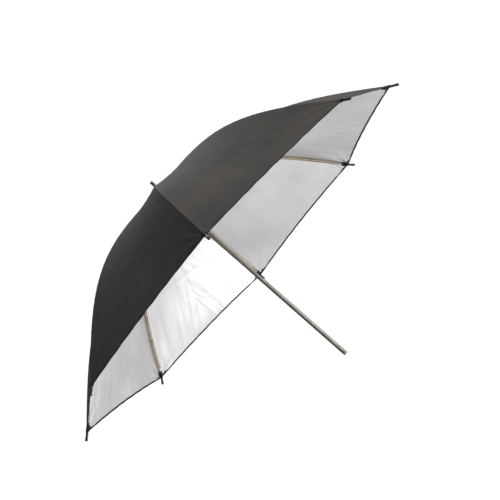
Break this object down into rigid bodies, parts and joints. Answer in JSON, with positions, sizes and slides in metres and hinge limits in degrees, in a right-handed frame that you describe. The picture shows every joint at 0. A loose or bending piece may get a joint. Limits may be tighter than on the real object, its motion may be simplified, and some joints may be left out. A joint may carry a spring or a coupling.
{
  "type": "studio umbrella reflector",
  "caption": "Folding photographic umbrella with a black outer and silver inner canopy on a ribbed frame, for bouncing studio light.",
  "frame": {"origin": "on the shaft's axis, in the middle of the length that an umbrella bracket clamps, 30 mm above the shaft's lower end", "axes": "+Z along the shaft towards the ferrule; the canopy opens towards -Z; +X runs through rib 1"},
  "size_m": [0.866, 0.866, 0.4767],
  "materials": {
    "shaft_steel": "satin nickel-plated steel tube, drawn and lightly brushed along its length",
    "plated_steel": "nickel-plated spring steel, warm grey with a soft sheen",
    "bright_metal": "bright turned and plated metal",
    "black_plastic": "glossy black injection-moulded plastic",
    "grey_plastic": "dark grey moulded nylon",
    "end_plastic": "brown-grey moulded plastic plug",
    "canopy_cloth": "woven nylon, matt black outside with a metallic silver coating inside"
  },
  "bodies": {
    "shaft_assembly": {"shaft": "shaft_steel", "shaft_end_plug": "end_plastic", "ferrule": "bright_metal", "canopy_washer": "black_plastic", "crown": "grey_plastic", "crown_wire": "plated_steel", "crown_pin": "plated_steel", "runner_stop_pin": "plated_steel"},
    "rib_arm_1": {"rib_1": "plated_steel", "canopy_panel_1": "canopy_cloth", "rib_tip_1": "black_plastic", "stretcher_rivet_1": "plated_steel"},
    "stretcher_arm_1": {"stretcher_1": "plated_steel"},
    "rib_arm_2": {"rib_2": "plated_steel", "canopy_panel_2": "canopy_cloth", "rib_tip_2": "black_plastic", "stretcher_rivet_2": "plated_steel"},
    "stretcher_arm_2": {"stretcher_2": "plated_steel"},
    "rib_arm_3": {"rib_3": "plated_steel", "canopy_panel_3": "canopy_cloth", "rib_tip_3": "black_plastic", "stretcher_rivet_3": "plated_steel"},
    "stretcher_arm_3": {"stretcher_3": "plated_steel"},
    "rib_arm_4": {"rib_4": "plated_steel", "canopy_panel_4": "canopy_cloth", "rib_tip_4": "black_plastic", "stretcher_rivet_4": "plated_steel"},
    "stretcher_arm_4": {"stretcher_4": "plated_steel"},
    "rib_arm_5": {"rib_5": "plated_steel", "canopy_panel_5": "canopy_cloth", "rib_tip_5": "black_plastic", "stretcher_rivet_5": "plated_steel"},
    "stretcher_arm_5": {"stretcher_5": "plated_steel"},
    "rib_arm_6": {"rib_6": "plated_steel", "canopy_panel_6": "canopy_cloth", "rib_tip_6": "black_plastic", "stretcher_rivet_6": "plated_steel"},
    "stretcher_arm_6": {"stretcher_6": "plated_steel"},
    "rib_arm_7": {"rib_7": "plated_steel", "canopy_panel_7": "canopy_cloth", "rib_tip_7": "black_plastic", "stretcher_rivet_7": "plated_steel"},
    "stretcher_arm_7": {"stretcher_7": "plated_steel"},
    "rib_arm_8": {"rib_8": "plated_steel", "canopy_panel_8": "canopy_cloth", "rib_tip_8": "black_plastic", "stretcher_rivet_8": "plated_steel"},
    "stretcher_arm_8": {"stretcher_8": "plated_steel"},
    "runner_slider": {"runner": "grey_plastic", "runner_wire": "plated_steel"},
    "catch_spring": {"runner_catch": "plated_steel"}
  },
  "joints": [
    {"name": "rib_1_fold", "type": "hinge", "parent": "shaft_assembly", "child": "rib_arm_1", "pos_m": [0.008, 0, 0.42119], "axis": [0, 1, 0], "range_deg": [0, 63], "deforming": ["canopy_panel_1", "runner_catch"]},
    {"name": "stretcher_1_pivot", "type": "hinge", "parent": "rib_arm_1", "child": "stretcher_arm_1", "pos_m": [0.18973, 0, 0.38298], "axis": [0, 1, 0], "range_deg": [-126, 0]},
    {"name": "rib_2_fold", "type": "hinge", "parent": "shaft_assembly", "child": "rib_arm_2", "pos_m": [0.00566, 0.00566, 0.42119], "axis": [-0.7071, 0.7071, 0], "range_deg": [0, 63], "deforming": ["canopy_panel_2"]},
    {"name": "stretcher_2_pivot", "type": "hinge", "parent": "rib_arm_2", "child": "stretcher_arm_2", "pos_m": [0.13416, 0.13416, 0.38298], "axis": [-0.7071, 0.7071, 0], "range_deg": [-126, 0]},
    {"name": "rib_3_fold", "type": "hinge", "parent": "shaft_assembly", "child": "rib_arm_3", "pos_m": [0, 0.008, 0.42119], "axis": [-1, 0, 0], "range_deg": [0, 63], "deforming": ["canopy_panel_3"]},
    {"name": "stretcher_3_pivot", "type": "hinge", "parent": "rib_arm_3", "child": "stretcher_arm_3", "pos_m": [0, 0.18973, 0.38298], "axis": [-1, 0, 0], "range_deg": [-126, 0]},
    {"name": "rib_4_fold", "type": "hinge", "parent": "shaft_assembly", "child": "rib_arm_4", "pos_m": [-0.00566, 0.00566, 0.42119], "axis": [-0.7071, -0.7071, 0], "range_deg": [0, 63], "deforming": ["canopy_panel_4"]},
    {"name": "stretcher_4_pivot", "type": "hinge", "parent": "rib_arm_4", "child": "stretcher_arm_4", "pos_m": [-0.13416, 0.13416, 0.38298], "axis": [-0.7071, -0.7071, 0], "range_deg": [-126, 0]},
    {"name": "rib_5_fold", "type": "hinge", "parent": "shaft_assembly", "child": "rib_arm_5", "pos_m": [-0.008, 0, 0.42119], "axis": [0, -1, 0], "range_deg": [0, 63], "deforming": ["canopy_panel_5"]},
    {"name": "stretcher_5_pivot", "type": "hinge", "parent": "rib_arm_5", "child": "stretcher_arm_5", "pos_m": [-0.18973, 0, 0.38298], "axis": [0, -1, 0], "range_deg": [-126, 0]},
    {"name": "rib_6_fold", "type": "hinge", "parent": "shaft_assembly", "child": "rib_arm_6", "pos_m": [-0.00566, -0.00566, 0.42119], "axis": [0.7071, -0.7071, 0], "range_deg": [0, 63], "deforming": ["canopy_panel_6"]},
    {"name": "stretcher_6_pivot", "type": "hinge", "parent": "rib_arm_6", "child": "stretcher_arm_6", "pos_m": [-0.13416, -0.13416, 0.38298], "axis": [0.7071, -0.7071, 0], "range_deg": [-126, 0]},
    {"name": "rib_7_fold", "type": "hinge", "parent": "shaft_assembly", "child": "rib_arm_7", "pos_m": [0, -0.008, 0.42119], "axis": [1, 0, 0], "range_deg": [0, 63], "deforming": ["canopy_panel_7"]},
    {"name": "stretcher_7_pivot", "type": "hinge", "parent": "rib_arm_7", "child": "stretcher_arm_7", "pos_m": [0, -0.18973, 0.38298], "axis": [1, 0, 0], "range_deg": [-126, 0]},
    {"name": "rib_8_fold", "type": "hinge", "parent": "shaft_assembly", "child": "rib_arm_8", "pos_m": [0.00566, -0.00566, 0.42119], "axis": [0.7071, 0.7071, 0], "range_deg": [0, 63], "deforming": ["canopy_panel_8"]},
    {"name": "stretcher_8_pivot", "type": "hinge", "parent": "rib_arm_8", "child": "stretcher_arm_8", "pos_m": [0.13416, -0.13416, 0.38298], "axis": [0.7071, 0.7071, 0], "range_deg": [-126, 0]},
    {"name": "runner_travel", "type": "hinge", "parent": "stretcher_arm_1", "child": "runner_slider", "pos_m": [0.008, 0, 0.34475], "axis": [0, 1, 0], "range_deg": [0, 63]},
    {"name": "catch_press", "type": "hinge", "parent": "shaft_assembly", "child": "catch_spring", "pos_m": [0.00213, 0.00088, 0.30016], "axis": [0.3827, -0.9239, 0], "range_deg": [0, 7], "stiffness_Nm_per_rad": 0.6}
  ],
  "couplings": [
    {"joint": "stretcher_1_pivot", "follows": "rib_1_fold", "ratio": -2},
    {"joint": "rib_2_fold", "follows": "rib_1_fold", "ratio": 1},
    {"joint": "stretcher_2_pivot", "follows": "rib_1_fold", "ratio": -2},
    {"joint": "rib_3_fold", "follows": "rib_1_fold", "ratio": 1},
    {"joint": "stretcher_3_pivot", "follows": "rib_1_fold", "ratio": -2},
    {"joint": "rib_4_fold", "follows": "rib_1_fold", "ratio": 1},
    {"joint": "stretcher_4_pivot", "follows": "rib_1_fold", "ratio": -2},
    {"joint": "rib_5_fold", "follows": "rib_1_fold", "ratio": 1},
    {"joint": "stretcher_5_pivot", "follows": "rib_1_fold", "ratio": -2},
    {"joint": "rib_6_fold", "follows": "rib_1_fold", "ratio": 1},
    {"joint": "stretcher_6_pivot", "follows": "rib_1_fold", "ratio": -2},
    {"joint": "rib_7_fold", "follows": "rib_1_fold", "ratio": 1},
    {"joint": "stretcher_7_pivot", "follows": "rib_1_fold", "ratio": -2},
    {"joint": "rib_8_fold", "follows": "rib_1_fold", "ratio": 1},
    {"joint": "stretcher_8_pivot", "follows": "rib_1_fold", "ratio": -2},
    {"joint": "runner_travel", "follows": "rib_1_fold", "ratio": 1}
  ]
}
